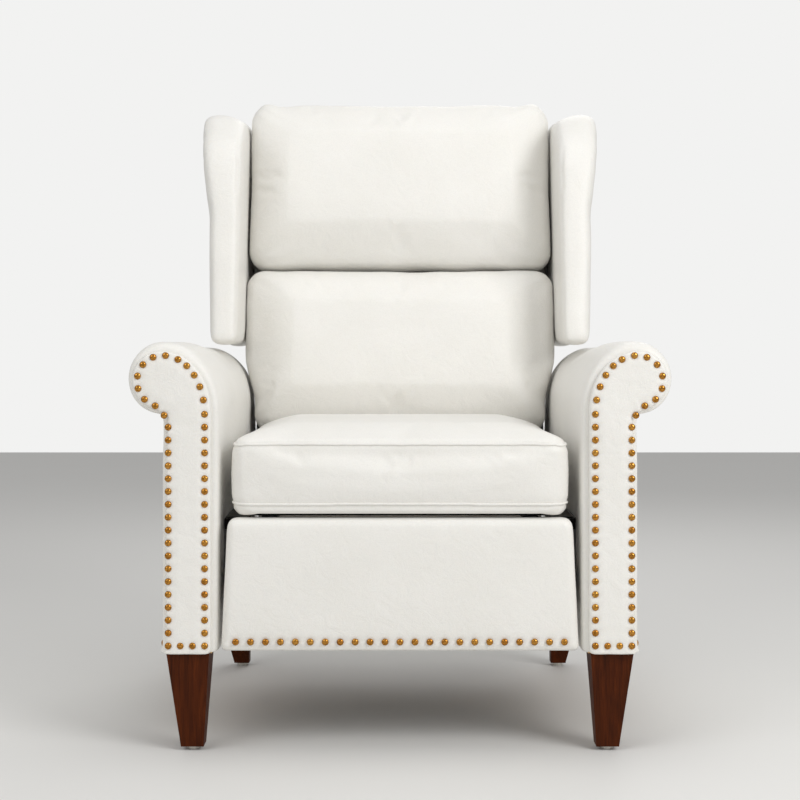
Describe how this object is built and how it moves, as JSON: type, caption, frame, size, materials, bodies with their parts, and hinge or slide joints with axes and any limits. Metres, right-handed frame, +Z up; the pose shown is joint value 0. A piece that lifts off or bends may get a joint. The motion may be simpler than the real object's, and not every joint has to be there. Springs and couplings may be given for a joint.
{
  "type": "wingback recliner",
  "caption": "White leather recliner with roll arms, wings, split back, box seat, nail trim, tapered wood legs and a footrest that folds out on links.",
  "frame": {"origin": "middle of the chair at the floor, in the middle of its width and depth", "axes": "+Z up, the chair faces -Y, +X is the right side seen from the front"},
  "size_m": [0.814, 0.8406, 1.0741],
  "materials": {
    "white_leather": "semi-matte, fine pebble grain",
    "brass_nails": "antique, satin",
    "leg_wood": "dark cherry stain, satin",
    "frame_wood": "raw hardwood",
    "bright_steel": "zinc plated",
    "spring_wire": "oiled wire",
    "dark_steel": "black paint, satin"
  },
  "bodies": {
    "base": {"arm_cover_right": "white_leather", "arm_cover_left": "white_leather", "arm_panel_right": "white_leather", "arm_panel_left": "white_leather", "arm_frame_right": "frame_wood", "arm_frame_left": "frame_wood", "arm_nails": "brass_nails", "leg_front_right": "leg_wood", "leg_front_left": "leg_wood", "leg_rear_right": "leg_wood", "leg_rear_left": "leg_wood", "glides": "bright_steel", "hanger_bolts": "bright_steel", "plate_right": "dark_steel", "plate_left": "dark_steel", "plate_fixings": "bright_steel", "pivot_pins": "bright_steel", "front_rail": "frame_wood", "deck_rail": "frame_wood", "rear_rail": "frame_wood", "slide_tracks": "dark_steel"},
    "seat": {"seat_runners": "dark_steel", "seat_side_rails": "frame_wood", "seat_end_rails": "frame_wood", "seat_springs": "spring_wire", "spring_clips": "bright_steel", "seat_cushion": "white_leather"},
    "back": {"back_posts": "frame_wood", "back_rails": "frame_wood", "back_springs": "spring_wire", "back_body": "white_leather", "lumbar_cushion": "white_leather", "head_cushion": "white_leather", "wing_right": "white_leather", "wing_left": "white_leather", "outside_back": "white_leather", "back_brackets": "dark_steel"},
    "drive_links": {"drive_link_right": "dark_steel", "drive_link_left": "dark_steel", "drive_rivets": "bright_steel"},
    "carrier_links": {"carrier_link_right": "dark_steel", "carrier_link_left": "dark_steel", "ear_rivets": "bright_steel"},
    "guide_links": {"guide_link_right": "dark_steel", "guide_link_left": "dark_steel", "torque_tube": "dark_steel"},
    "tilt_links": {"tilt_link_right": "dark_steel", "tilt_link_left": "dark_steel"},
    "footrest": {"foot_board": "frame_wood", "foot_pad": "white_leather", "foot_nails": "brass_nails", "foot_brackets": "dark_steel", "foot_rivets": "bright_steel"}
  },
  "joints": [
    {"name": "back_recline", "type": "hinge", "parent": "base", "child": "back", "pos_m": [0, 0.15809, 0.33], "axis": [-1, 0, 0], "range_deg": [0, 36]},
    {"name": "seat_glide", "type": "slide", "parent": "base", "child": "seat", "axis": [0, -1, 0], "range_m": [0, 0.0605]},
    {"name": "footrest_extend", "type": "hinge", "parent": "base", "child": "drive_links", "pos_m": [0, -0.28691, 0.288], "axis": [-1, 0, 0], "range_deg": [0, 136]},
    {"name": "guide_swing", "type": "hinge", "parent": "base", "child": "guide_links", "pos_m": [0, -0.28496, 0.32198], "axis": [-1, 0, 0], "range_deg": [0, 145.5]},
    {"name": "carrier_fold", "type": "hinge", "parent": "drive_links", "child": "carrier_links", "pos_m": [0, -0.10266, 0.19813], "axis": [-1, 0, 0], "range_deg": [-100.5, 0]},
    {"name": "tilt_fold", "type": "hinge", "parent": "drive_links", "child": "tilt_links", "pos_m": [0, -0.11614, 0.20471], "axis": [-1, 0, 0], "range_deg": [-104.2, 0]},
    {"name": "footrest_turn", "type": "hinge", "parent": "carrier_links", "child": "footrest", "pos_m": [0, -0.33891, 0.222], "axis": [-1, 0, 0], "range_deg": [0, 44.5]}
  ],
  "couplings": [
    {"joint": "seat_glide", "follows": "back_recline", "m_per_rad": 0.095493},
    {"joint": "guide_swing", "follows": "footrest_extend", "ratio": 1.0655},
    {"joint": "carrier_fold", "follows": "footrest_extend", "ratio": -0.73529},
    {"joint": "tilt_fold", "follows": "footrest_extend", "ratio": -0.76228},
    {"joint": "footrest_turn", "follows": "footrest_extend", "ratio": 0.32353}
  ]
}
